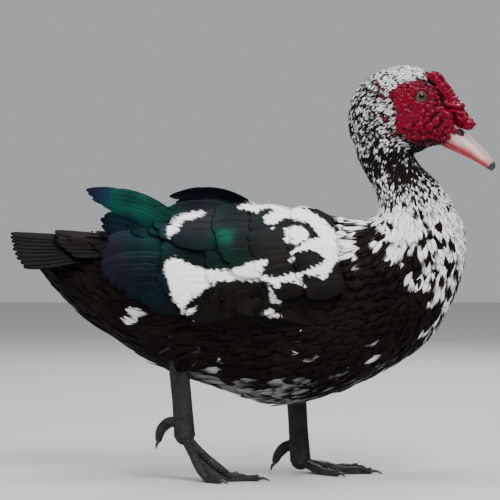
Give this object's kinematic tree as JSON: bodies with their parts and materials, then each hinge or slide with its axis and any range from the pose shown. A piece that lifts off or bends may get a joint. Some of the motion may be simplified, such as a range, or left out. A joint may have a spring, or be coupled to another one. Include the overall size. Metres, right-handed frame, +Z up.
{
  "type": "muscovy duck",
  "caption": "Life-size standing muscovy drake, dark pied plumage, red caruncled face, one foot pushing off behind the other, at rest on flat soles.",
  "frame": {"origin": "on the floor under the middle of the bird's bounding box", "axes": "+X towards the bill, the way the bird walks; +Y towards its left; +Z up from the floor that the soles rest on"},
  "size_m": [0.5576, 0.2012, 0.473],
  "materials": {
    "plumage_dark": "blackish brown feathers, matt with a faint green sheen",
    "plumage_green": "iridescent bottle green wing feathers with clean white patches",
    "plumage_pied": "white feathers flecked and blotched with black",
    "caruncle_skin": "bare crimson skin in moist bulbs and folds",
    "bill_skin": "pinkish white bill, semi-gloss",
    "bill_edge": "red-pink lower bill, semi-gloss",
    "horn": "dark slate horn of the nail and claws, semi-gloss",
    "leg_skin": "dark slate scales and web, dull",
    "eye": "wet, olive brown iris round a black pupil"
  },
  "bodies": {
    "root": {"torso": "plumage_dark", "neck": "plumage_pied", "tail": "plumage_dark", "head": "plumage_pied", "face": "caruncle_skin", "bill_upper": "bill_skin", "bill_lower": "bill_edge", "bill_nail": "horn", "eye_right": "eye", "eye_left": "eye", "wing_right": "plumage_green", "thigh_right": "plumage_dark", "shank_right": "leg_skin", "foot_right": "leg_skin", "claw_right_inner": "horn", "claw_right_middle": "horn", "claw_right_outer": "horn", "claw_right_hallux": "horn", "wing_left": "plumage_green", "thigh_left": "plumage_dark", "shank_left": "leg_skin", "foot_left": "leg_skin", "claw_left_inner": "horn", "claw_left_middle": "horn", "claw_left_outer": "horn", "claw_left_hallux": "horn"}
  },
  "joints": []
}
